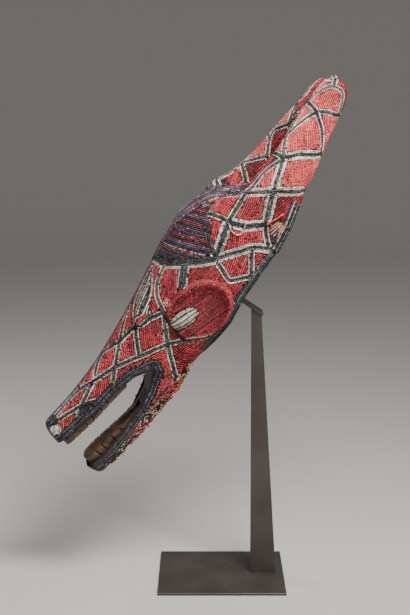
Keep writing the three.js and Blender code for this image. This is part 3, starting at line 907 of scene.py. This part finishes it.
class Beads:
    """Beads laid one after another, each kept clear of those before it."""

    def __init__(self):
        self.centres, self.normals, self.tangents, self.shades = [], [], [], []
        self.cells = {}

    def free(self, place):
        """Whether a place is clear of all beads. If so, it is taken."""
        home = tuple(int(math.floor(value / CLEARANCE)) for value in place)
        for i, j, k in NEIGHBOURS:
            for other in self.cells.get((home[0] + i, home[1] + j, home[2] + k), ()):
                if sum((p - q) ** 2 for p, q in zip(place, other)) < CLEARANCE ** 2:
                    return False
        self.cells.setdefault(home, []).append(place)
        return True

    def lay(self, places, normals, mixture, main_share=MAIN_SHADE_SHARE):
        """One string of beads along places on the skin, most of them of one shade of the mixture."""
        string = resampled(np.column_stack([places, normals]), BEAD_PITCH)
        if len(string) < 2:
            return
        tangents = np.gradient(string[:, :3], axis=0)
        worn = marked(string[:, :3], WORN) >= 0
        patches = marked(string[:, :3], PATCHES)
        main = pick_shade(mixture)
        for place, tangent, patch, missing in zip(string, tangents, patches, worn):
            if missing or RANDOM.random() < GAP_SHARE or not self.free(tuple(place[:3])):
                continue
            shade = main if RANDOM.random() < main_share else pick_shade(mixture)
            if patch >= 0:
                shade = pick_shade(PATCHES[patch][2])
            self.centres.append(place[:3])
            self.normals.append(place[3:])
            self.tangents.append(tangent)
            self.shades.append(shade)


def pick_shade(name):
    """Index of a shade drawn from a mixture."""
    names = list(MIXES[name])
    drawn = min(int(np.searchsorted(MIX_SUMS[name], RANDOM.random())), len(names) - 1)
    return SHADE_NAMES.index(names[drawn])


def field_rows(triangles, field, pitch):
    """Strings across the triangles at even levels of a field: the level's number, places and normals."""
    levels = field / pitch - 0.5 + LEVEL_NUDGE
    low = levels[triangles].min(axis=1)
    high = levels[triangles].max(axis=1)
    first = np.ceil(low).astype(int)
    ends = []
    for step in range(ROWS_PER_TRIANGLE):
        number = first + step
        hit = np.nonzero(number <= high)[0]
        if not len(hit):
            break
        corners, number = triangles[hit], number[hit]
        found = []
        for a, b in ((0, 1), (1, 2), (2, 0)):
            lo = np.minimum(corners[:, a], corners[:, b])
            hi = np.maximum(corners[:, a], corners[:, b])
            crosses = (levels[lo] - number) * (levels[hi] - number) < 0
            found.append((lo, hi, crosses))
        for row in range(len(hit)):
            cut = [(lo[row], hi[row]) for lo, hi, crosses in found if crosses[row]]
            keys = [(int(lo), int(hi), int(number[row])) for lo, hi in cut]
            if len(keys) == 2:
                ends.append(keys)
    return chained(ends, levels)


def chained(segments, levels):
    """Joins segments that share ends into strings."""
    neighbours = {}
    for a, b in segments:
        neighbours.setdefault(a, []).append(b)
        neighbours.setdefault(b, []).append(a)
    seen = set()
    strings = []
    starts = [key for key, others in neighbours.items() if len(others) == 1] + list(neighbours)
    for start in starts:
        if start in seen:
            continue
        chain = [start]
        seen.add(start)
        while True:
            onward = [key for key in neighbours[chain[-1]] if key not in seen]
            if not onward:
                break
            chain.append(onward[0])
            seen.add(onward[0])
        if len(chain) > 2 and start in neighbours[chain[-1]]:
            chain.append(start)
        lo, hi, number = np.array(chain).T
        t = ((number - levels[lo]) / (levels[hi] - levels[lo]))[:, None]
        strings.append((int(number[0]), mix(POINTS[lo], POINTS[hi], t), mix(NORMALS[lo], NORMALS[hi], t)))
    return strings


def ellipse_share(u, v, long, high):
    """Distance from an ellipse's middle, 1 on its outline."""
    return np.sqrt((u / long) ** 2 + (v / high) ** 2)


def ellipse_depth(u, v, long, high):
    """Distance in from an ellipse's outline, near enough for rows that follow it."""
    radius = ellipse_share(u, v, long, high)
    steepness = np.sqrt((u / long ** 2) ** 2 + (v / high ** 2) ** 2)
    return (1 - radius) * radius / np.maximum(steepness, TINY)


def ear_place(points):
    """Points in the ear's own axes: along it and across it."""
    cos, sin = math.cos(EAR["tilt"]), math.sin(EAR["tilt"])
    dx, dy = points[:, 0] - EAR["x"], points[:, 1] - EAR["y"]
    return dx * cos + dy * sin, -dx * sin + dy * cos


def line_gap(points):
    """How far points lie outside the bead lines' bands. It is negative inside a band."""
    gap = np.full(len(points), np.inf)
    for style, data in STYLES.items():
        tree = tree_of(np.concatenate([places for kind, _, places, _ in LINES if kind == style]))
        reach = np.array([tree.find(p)[2] for p in points])
        gap = np.minimum(gap, reach - data["half"])
    return gap


def zone_of(points, gap):
    """The kind of beadwork at each point, as an index into ZONES. Later kinds lie over earlier ones."""
    zone = np.full(len(points), ZONES.index("cell"))

    def mark(name, where):
        zone[where] = ZONES.index(name)

    x, y, z = points.T
    flat = points[:, :2]
    mark("eye", inside(np.column_stack([x, np.abs(z)]), EYE_OUTLINE) & (y > EYE_BOTTOM))
    mark("band", gap < 0)
    crown = inside(flat, CROWN_OUTLINE)
    mark("crown_side", crown)
    mark("crown", crown & (np.abs(z) < along(CROWN_HALF, x)))
    mark("jaw", (x < JAW_END) & (y < JAW_LEVEL))
    mark("rim", (x > RIM_START) & (x < RIM_END) & (line_distance(flat, RIM_LINE)[0] < RIM_BAND))
    front = (x - FRONT_SLANT * np.maximum(y - FRONT_BEND, 0) < FRONT_END) & (y > FRONT_LEVEL)
    mark("lips", (line_distance(flat, LIP_EDGE)[0] < LIP_BAND) | front)
    radius = ellipse_share(*ear_place(points), EAR["long"], EAR["high"])
    lifted = np.abs(z) > head_side(x, y) + EAR_LIFT
    mark("ear_rim", (radius < EAR_INNER) | ((radius < EAR_OUTER) & lifted))
    mark("ear", radius < EAR_DISH)
    for name in ("lens", "nostril"):
        u, v, out = boss_place(name, points).T
        mark(name, (ellipse_share(u, v, *BOSSES[name][1][:2]) < 1) & (out > 0))
    return zone


def components(triangles, linking):
    """Number of the connected patch that each triangle belongs to. Only `linking` points join triangles."""
    parent = np.arange(len(POINTS))

    def root(v):
        while parent[v] != v:
            parent[v] = parent[parent[v]]
            v = parent[v]
        return v

    anchors = []
    for corners in triangles:
        joined = [v for v in corners if linking[v]]
        anchors.append(joined[0])
        for other in joined[1:]:
            one, two = root(joined[0]), root(other)
            if one != two:
                parent[one] = two
    return np.array([root(v) for v in anchors])


def wobble(count):
    """Small sideways drift along a string laid by hand, at each millimetre of it."""
    phases = RANDOM.uniform(0, 2 * math.pi, len(WOBBLES))
    place = np.arange(count)
    return sum(size * np.sin(place / length + phase) for (size, length), phase in zip(WOBBLES, phases))


def lay_lines(beads, part, default, mixtures):
    """The dark or the white strings of every bead line."""
    for style, side, places, normals in LINES:
        tangents = np.gradient(places, axis=0)
        across = side * unit(np.cross(normals, tangents))
        shared = SHARED_WOBBLE * wobble(len(places))
        for offset in STYLES[style][part]:
            drift = offset + shared + OWN_WOBBLE * wobble(len(places))
            beads.lay(*on_skin(places + drift[:, None] * across), mixtures.get(style, default))


def lay_zone(beads, triangles, field, mixtures, pitch):
    """Strings along a field's levels, with the mixtures in turn."""
    for number, places, normals in field_rows(triangles, field, pitch):
        beads.lay(places, normals, mixtures[number % len(mixtures)])


def cell_style(centre):
    """The mixture of a patch's strings, and the turn of its rows from the mask's length."""
    x, y, z = centre[0], centre[1], abs(centre[2])
    # The horns' inner faces take darker reds: painted shade where they face each other.
    if x > HORN_CELLS and z < INNER_SHADE_REACH and y < INNER_SHADE_TOP:
        mixture, kind = "red_deep", "inner_painted_shade"
    # The rest of the horns take lighter reds: partly their own salmon red, partly painted light where the
    # lamps fall on them.
    elif x > HORN_CELLS:
        mixture, kind = "red_painted_light", "horn"
    elif x > HELMET_CELLS:
        mixture, kind = "red", "helmet"
    else:
        mixture = "red_cheek" if x > CHEEK_CELLS else "red"
        kind = "upper" if y > UPPER_CELLS else "side"
    return mixture, RANDOM.uniform(*CELL_TURNS[kind])


def patch_place(corners, turn):
    """Distances across and along a patch's rows, on its surface as if that were bent to one radius."""
    normal = unit(NORMALS[corners].mean(axis=0))
    forward = np.array([1.0, 0.0, 0.0])
    forward = unit(forward - normal * (forward @ normal))
    across = math.cos(turn) * np.cross(normal, forward) + math.sin(turn) * forward
    offset = POINTS[corners] - POINTS[corners].mean(axis=0)
    wide, long = offset @ across, offset @ np.cross(across, normal)
    terms = np.stack([wide ** 2, wide * long, long ** 2, wide, long], -1)
    bend = np.linalg.lstsq(terms, -(offset @ normal), rcond=None)[0][0]
    radius = max(1 / max(abs(2 * bend), LEAST_BEND), BEND_MARGIN * np.abs(wide).max())
    return radius * np.arcsin(np.clip(wide / radius, -BEND_LIMIT, BEND_LIMIT)), long


def horn_place(corners, turn):
    """Distances across and along a patch's rows on a horn, measured round the horn's axis."""
    centre = POINTS[corners].mean(axis=0)
    x, y, z = POINTS[corners].T
    level, middle = horn_middle(x)
    up, out = y - level, np.sign(centre[2]) * z - middle
    angle = np.arctan2(up, out) - math.atan2(up.mean(), out.mean())
    angle = (angle + math.pi) % (2 * math.pi) - math.pi
    wide, long = HORN_ROUND * angle, x - centre[0]
    return wide * math.cos(turn) + long * math.sin(turn), long * math.cos(turn) - wide * math.sin(turn)


def slopes(triangles, field):
    """How fast the field changes along the skin in each triangle."""
    first, second, third = (POINTS[triangles[:, i]] for i in range(3))
    low, middle, high = (field[triangles[:, i], None] for i in range(3))
    normal = np.cross(second - first, third - first)
    rise = (middle - low) * (first - third) + (high - low) * (second - first)
    return np.linalg.norm(np.cross(normal, rise), axis=1) / (normal ** 2).sum(axis=1)


def row_field(triangles, corners, turn):
    """Distances across a patch's rows: near the wanted turn, but turned on where they would spread apart."""
    centre = POINTS[corners].mean(axis=0)
    on_horn = HORN_START < centre[0] < HORN_END and (POINTS[corners, 2] * centre[2] > 0).all()
    place = horn_place if on_horn else patch_place
    bow = RANDOM.uniform(-ROW_BOW, ROW_BOW)
    options = []
    for step in np.radians(ROW_TURNS):
        across, onward = place(corners, turn + step)
        field = np.zeros(len(POINTS))
        field[corners] = across + bow * onward ** 2
        evenness = min(np.quantile(slopes(triangles, field), EVEN_PART), EVEN_ENOUGH)
        options.append((evenness - TURN_COST * abs(step), field))
    return max(options, key=lambda option: option[0])[1]


def lay_cells(beads, triangles, linking):
    """Fills every patch between the lines with slightly bowed rows in a direction of its own."""
    patches = components(triangles, linking)
    for patch in np.unique(patches):
        own = triangles[patches == patch]
        corners = np.unique(own)
        centre = POINTS[corners].mean(axis=0)
        mixture, turn = cell_style(centre)
        field = row_field(own, corners, turn * np.sign(centre[2]))
        pitch = ROW_PITCH * np.clip(np.median(slopes(own, field)), LEAST_PITCH_SHARE, 1)
        lay_zone(beads, own, field, [mixture], pitch)


def lay_flap(beads):
    """The loose end of the rim's band, which stands off the helmet."""
    for row in range(FLAP_ROWS):
        line = resampled(np.array(FLAP_LINE) + (0, (row + 0.5) * ROW_PITCH, 0), 1)
        outward = np.tile((0.0, 0.0, 1.0), (len(line), 1))
        beads.lay(line, outward, "flap" if row % 2 else "lip", FLAP_SHADE_SHARE)


def lay_loose_strings(beads):
    for mixture, line in LOOSE_STRINGS:
        places, normals = surface_line(line)
        beads.lay(places + LOOSE_HEIGHT * normals, normals, mixture)


def random_start(track, scatter):
    """A place on the skin near a random place of a line, and the normal there."""
    place = track[RANDOM.integers(len(track))] + RANDOM.normal(0, scatter, 3)
    (start,), (normal,) = on_skin([place])
    return start, normal


def lay_frays(beads):
    """Loose ends of strings along worn edges."""
    steps = np.linspace(0, 1, FRAY_PLACES)[:, None]
    for line, count, mixture in FRAYS:
        track = resampled(np.array(line, float), 1)
        for _ in range(count):
            start, normal = random_start(track, FRAY_SCATTER)
            heading = unit(normal + RANDOM.normal(0, FRAY_SPREAD, 3))
            length = RANDOM.uniform(*FRAY_LENGTH)
            curl = RANDOM.normal(0, FRAY_CURL, 3)
            places = start + heading * length * steps + curl * steps ** 2
            normals = np.tile(unit(np.cross(heading, FRAY_SIDE)), (len(steps), 1))
            beads.lay(places, normals, mixture)


def lay_fringes(beads):
    """Clumps of short strings that stand off a worn edge."""
    steps = np.linspace(0, 1, FRINGE_PLACES)[:, None]
    for line, reach, count, mixture in FRINGES:
        track = resampled(np.array(line, float), 1)
        heading = unit(track[-1] - track[0])
        for _ in range(count):
            start, normal = random_start(track, FRINGE_SCATTER)
            normal = unit(normal + FRINGE_DROOP)
            start += normal * reach * RANDOM.random()
            onward = unit(heading + RANDOM.normal(0, FRINGE_SPREAD, 3))
            places = start + onward * RANDOM.uniform(*FRINGE_LENGTH) * steps
            beads.lay(places, np.tile(normal, (len(places), 1)), mixture, FRINGE_SHADE_SHARE)


def zone_fields():
    """Distance across the strings of each kind of beadwork, at every point of the skin."""
    x, y, z = POINTS.T
    flat = POINTS[:, :2]
    lens_u, lens_v, _ = boss_place("lens", POINTS).T
    nostril_u, nostril_v, _ = boss_place("nostril", POINTS).T
    ear_u, ear_v = ear_place(POINTS)
    in_ear = (ear_u, ear_v, EAR["long"], EAR["high"])
    wall = np.minimum(np.abs(z) - head_side(x, y) - ear_rim(x, y), 0) * (ellipse_share(*in_ear) > EAR_WALL)
    around_jaw = along(HALF_WIDTH, x) - np.abs(z) - y
    return {
        "lens": lens_v * (1 + LENS_CONVERGENCE * (lens_u / EAR_LENS["long"]) ** 2),
        "nostril": np.sqrt(nostril_u ** 2 + nostril_v ** 2),
        "lips": line_distance(flat, LIP_EDGE)[0],
        "rim": line_distance(flat, RIM_LINE)[0],
        "jaw_tip": around_jaw,
        "jaw": around_jaw,
        "ear_rim": ellipse_depth(*in_ear) + wall,
        "ear": ear_v,
        "eye": boss_place("eye", POINTS)[:, 1],
        "crown": along(CROWN_HALF, x) - np.abs(z),
        "crown_side": POINTS @ MASK[2, :3] + MASK[2, 3] + CROWN_SLANT * (POINTS @ MASK[0, :3]),
    }


def lay_beads():
    """All beads, in the order in which later strings give way to earlier ones."""
    beads = Beads()
    zone = zone_of(POINTS, line_gap(POINTS))
    linking = zone == ZONES.index("cell")
    zone = np.sort(zone[TRIANGLES], axis=1)[:, 1]
    chosen = {name: TRIANGLES[zone == i] for i, name in enumerate(ZONES)}
    at_tip = POINTS[chosen["jaw"]].mean(axis=1)[:, 0] < JAW_DARK_END
    chosen["jaw_tip"] = chosen["jaw"][at_tip]
    chosen["jaw"] = chosen["jaw"][~at_tip]
    fields = zone_fields()

    def lay(*names):
        for name in names:
            mixtures = STRINGS[name].split()
            lay_zone(beads, chosen[name], fields[name], mixtures, PITCHES.get(name, ROW_PITCH))

    lay("lens", "nostril", "lips", "rim")
    lay_lines(beads, "dark", "dark_line", LINE_MIXES)
    lay_lines(beads, "white", "white", {})
    lay("jaw_tip", "jaw", "ear_rim", "ear", "eye")
    lay_flap(beads)
    lay_loose_strings(beads)
    lay("crown", "crown_side")
    lay_cells(beads, chosen["cell"], linking)
    lay_fringes(beads)
    lay_frays(beads)
    return beads


def bead_piece(centre):
    """Name of the piece that a bead belongs to. Only the muzzle's has both sides in it."""
    part = next(name for end, name in BEAD_PARTS if centre[0] < end)
    if part == "muzzle":
        return "beads_muzzle"
    return "beads_" + part + ("_left" if centre[2] > 0 else "_right")


def set_inputs(node, **values):
    """Sets inputs of a node, with an underscore for each space in their names."""
    for name, value in values.items():
        node.inputs[name.replace("_", " ")].default_value = value


def new_material(name, colour, roughness, metallic=0):
    material = bpy.data.materials.new(name)
    material.use_nodes = True
    shader = material.node_tree.nodes["Principled BSDF"]
    set_inputs(shader, Base_Color=(*colour, 1), Roughness=roughness, Metallic=metallic)
    return material, material.node_tree, shader


def noise_colour(tree, shader, colours, scale, detail=3, stretch=(1, 1, 1)):
    """Blends two colours over the surface by noise in the frame's metres."""
    place = tree.nodes.new("ShaderNodeTexCoord")
    mapping = tree.nodes.new("ShaderNodeMapping")
    set_inputs(mapping, Scale=stretch)
    noise = tree.nodes.new("ShaderNodeTexNoise")
    set_inputs(noise, Scale=scale, Detail=detail)
    ramp = tree.nodes.new("ShaderNodeValToRGB")
    for element, position, colour in zip(ramp.color_ramp.elements, STAIN_EDGES, colours):
        element.position = position
        element.color = (*colour, 1)
    tree.links.new(place.outputs["Object"], mapping.inputs["Vector"])
    tree.links.new(mapping.outputs["Vector"], noise.inputs["Vector"])
    tree.links.new(noise.outputs["Fac"], ramp.inputs["Fac"])
    tree.links.new(ramp.outputs["Color"], shader.inputs["Base Color"])
    return noise


def noise_bump(tree, shader, noise, strength, distance):
    bump = tree.nodes.new("ShaderNodeBump")
    set_inputs(bump, Strength=strength, Distance=distance)
    tree.links.new(noise.outputs["Fac"], bump.inputs["Height"])
    tree.links.new(bump.outputs["Normal"], shader.inputs["Normal"])


def bead_material(name):
    material, tree, shader = new_material("bead_" + name, SHADES[name], BEAD_ROUGHNESS)
    stains = [[min(value * share, 1) for value in SHADES[name]] for share in BEAD_STAINS]
    noise_colour(tree, shader, stains, BEAD_STAIN_SCALE)
    return material


def stained_material(look):
    """Cloth, wood or iron, with stains and a rough surface from the same noise."""
    material, tree, shader = new_material(look["name"], look["colour"], look["roughness"], look["metallic"])
    noise = noise_colour(tree, shader, look["stains"], look["scale"], look["detail"], look["stretch"])
    noise_bump(tree, shader, noise, *look["bump"])
    return material


def bead_shape():
    """Points and triangles of one bead: a short barrel along x."""
    angle = turns(BEAD_SIDES)
    ring = np.stack([np.zeros(BEAD_SIDES), np.cos(angle) * BEAD_RADIUS, np.sin(angle) * BEAD_RADIUS], -1)
    half = np.array([BEAD_HALF_LENGTH, 0, 0])
    faces = []
    for k in range(BEAD_SIDES):
        after = (k + 1) % BEAD_SIDES
        faces += [[k, k + BEAD_SIDES, after], [after, k + BEAD_SIDES, after + BEAD_SIDES]]
    for k in range(1, BEAD_SIDES - 1):
        faces += [[0, k, k + 1], [BEAD_SIDES, BEAD_SIDES + k + 1, BEAD_SIDES + k]]
    return np.concatenate([ring + half, ring - half]), np.array(faces)


def build_bead_pieces(beads, materials):
    """All beads of a part of the mask as one piece, with a material for each shade."""
    shape, faces = bead_shape()
    centres = np.array(beads.centres)
    normals = unit(np.array(beads.normals))
    tangents = np.array(beads.tangents)
    tangents = unit(tangents - normals * (tangents * normals).sum(axis=1)[:, None])
    across = np.cross(normals, tangents)
    axes = np.stack([tangents, across, normals], 1)
    sizes = RANDOM.normal(1, BEAD_SIZE_SPREAD, len(centres)).clip(*BEAD_SIZE_LIMITS)
    sunk = centres - normals * (BEAD_DEPTH + RANDOM.normal(0, BEAD_DEPTH_SPREAD, len(centres)))[:, None]
    corners = np.einsum("pk,bkd->bpd", shape, axes) * sizes[:, None, None] + sunk[:, None, :]
    shades = np.array(beads.shades)
    names = np.array([bead_piece(centre) for centre in centres])
    for name in sorted(set(names)):
        own = names == name
        count = int(own.sum())
        points = to_frame(corners[own].reshape(-1, 3))
        triangles = (faces[None] + (np.arange(count) * len(shape))[:, None, None]).reshape(-1, 3)
        piece = mesh_object(name, points, triangles.tolist())
        for material in materials:
            piece.data.materials.append(material)
        indices = np.repeat(shades[own], len(faces)).astype(np.int32)
        piece.data.polygons.foreach_set("material_index", indices)
        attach(piece, "root")


def cloth_piece(name, source):
    """A shell over the surface of a source object, as a piece in the frame."""
    shell = source.modifiers.new("shell", "SOLIDIFY")
    shell.thickness = CLOTH_THICKNESS
    shell.offset = -1
    points, triangles = evaluated(source)
    cloth = mesh_object(name, to_frame(points), triangles.tolist())
    cloth.data.materials.append(stained_material(CLOTH))
    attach(cloth, "root")
    return cloth


def build_cloth():
    """Dark cloth under the beads, a thin shell a little below their strings."""
    source = mesh_object("cloth_source", POINTS - NORMALS * CLOTH_DEPTH, TRIANGLES.tolist())
    fewer = source.modifiers.new("fewer", "DECIMATE")
    fewer.ratio = CLOTH_SHARE
    cloth = cloth_piece("bead_cloth", source)
    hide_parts("beadwork")


def build_flap_cloth():
    """Cloth behind the loose end of the rim's band."""
    line = resampled(np.array(FLAP_LINE, float), 2)
    width = FLAP_ROWS * ROW_PITCH
    points = np.concatenate([line - (0, 0, CLOTH_DEPTH), line + (0, width, -CLOTH_DEPTH)])
    count = len(line)
    faces = [[i, i + 1, i + 1 + count, i + count] for i in range(count - 1)]
    cloth_piece("flap_cloth", mesh_object("flap_source", points, faces))


def dress_frame():
    """The stained wood and iron on the solids that show as they are."""
    wood, iron = stained_material(WOOD), stained_material(IRON)
    for name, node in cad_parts.items():
        if name == "beadwork":
            continue
        node.data.materials.clear()
        node.data.materials.append(wood if name == "wooden_head" else iron)


def build_camera():
    data = bpy.data.cameras.new("camera")
    data.sensor_width = SENSOR_WIDTH
    data.lens = FOCAL_PIXELS * SENSOR_WIDTH / PHOTO_HEIGHT
    camera = add_object("camera", data)
    camera.location = CAMERA_PLACE
    camera.rotation_euler = (math.pi / 2 - CAMERA_DOWN, 0, 0)
    bpy.context.scene.camera = camera


def area_light(name, place, target, size, power, colour):
    data = bpy.data.lights.new(name, "AREA")
    data.size = size
    data.energy = power
    data.color = colour
    light = add_object(name, data)
    light.location = place
    light.rotation_euler = (Vector(target) - Vector(place)).to_track_quat("-Z", "Y").to_euler()


def build_backdrop():
    """Plain pale sweep: a round floor whose rim curves up into a wall."""
    turn = np.linspace(0, math.pi / 2, SWEEP_LEVELS)
    angle = turns(SWEEP_SIDES)
    radii = np.concatenate([[SWEEP_MIDDLE], SWEEP_START + SWEEP_RADIUS * np.sin(turn)])
    levels = np.concatenate([[0.0], SWEEP_RADIUS * (1 - np.cos(turn))])
    rings = [
        np.stack([radius * np.cos(angle), radius * np.sin(angle), np.full_like(angle, level)], -1)
        for radius, level in zip(radii, levels)
    ]
    points, faces = loft(rings)
    faces.pop()
    sweep = mesh_object("backdrop", points, faces)
    sweep.data.materials.append(new_material("backdrop", SWEEP_COLOUR, SWEEP_ROUGHNESS)[0])


def build_studio():
    build_backdrop()
    world = bpy.data.worlds.new("studio")
    world.use_nodes = True
    set_inputs(world.node_tree.nodes["Background"], Color=WORLD_COLOUR, Strength=WORLD_STRENGTH)
    bpy.context.scene.world = world
    for light in LIGHTS:
        area_light(*light)


build_camera()
build_studio()
dress_frame()
build_cloth()
build_flap_cloth()
build_bead_pieces(lay_beads(), [bead_material(name) for name in SHADES])
